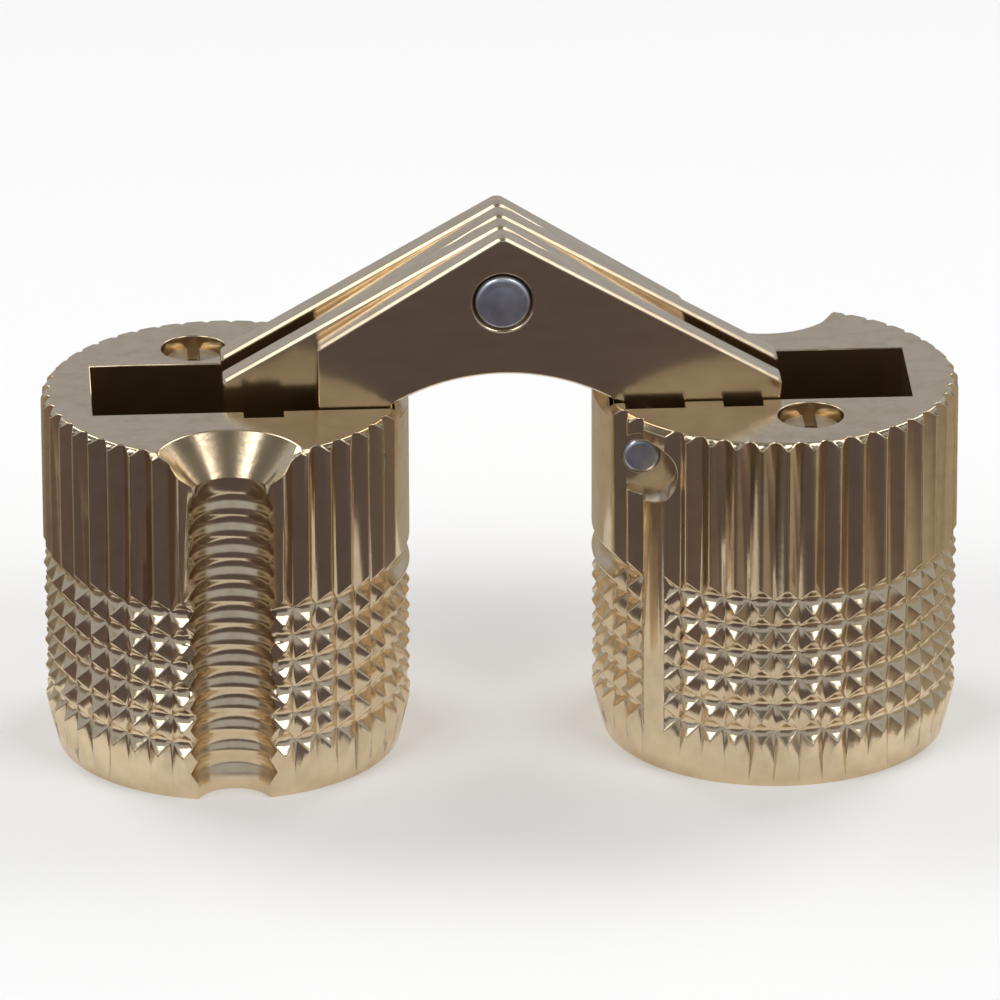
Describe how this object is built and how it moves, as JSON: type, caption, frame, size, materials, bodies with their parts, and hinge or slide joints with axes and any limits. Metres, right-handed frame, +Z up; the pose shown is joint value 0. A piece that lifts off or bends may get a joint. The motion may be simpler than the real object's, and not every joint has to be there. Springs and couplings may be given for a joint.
{
  "type": "barrel hinge",
  "caption": "Concealed barrel hinge: fluted cylinders press into bored holes and interleaved chevron link plates on a centre pin let it open flat and close end to end.",
  "frame": {"origin": "on the floor, midway between the axes of the two barrels, with the hinge open at 180 degrees", "axes": "+X from the left barrel to the right one, +Y to the back, +Z up out of the barrels' mouths"},
  "size_m": [0.06, 0.024, 0.036],
  "materials": {
    "barrels": "bright brass, cast flutes and milled slot",
    "link_plates": "bright brass, polished flat",
    "pins": "ground steel",
    "locking_screws": "plain steel with a driver slot"
  },
  "bodies": {
    "left_barrel": {"left_barrel": "barrels", "left_pivot_pin": "pins", "left_locking_screw": "locking_screws"},
    "link_a": {"link_a_front": "link_plates", "link_a_rear": "link_plates", "centre_pin": "pins", "right_guide_pin": "pins"},
    "link_b": {"link_b_front": "link_plates", "link_b_rear": "link_plates", "left_guide_pin": "pins"},
    "right_barrel": {"right_barrel": "barrels", "right_pivot_pin": "pins", "right_locking_screw": "locking_screws"}
  },
  "joints": [
    {"name": "left_pivot", "type": "hinge", "parent": "left_barrel", "child": "link_a", "pos_m": [-0.0089, 0, 0.0212], "axis": [0, -1, 0], "range_deg": [0, 116.36]},
    {"name": "centre_pivot", "type": "hinge", "parent": "link_a", "child": "link_b", "pos_m": [0, 0, 0.0315], "axis": [0, 1, 0], "range_deg": [0, 52.75]},
    {"name": "right_pivot", "type": "hinge", "parent": "link_b", "child": "right_barrel", "pos_m": [0.0089, 0, 0.0212], "axis": [0, -1, 0], "range_deg": [0, 116.37]}
  ],
  "couplings": [
    {"joint": "centre_pivot", "follows": "left_pivot", "ratio": 0.45315},
    {"joint": "right_pivot", "follows": "left_pivot", "ratio": 1}
  ]
}
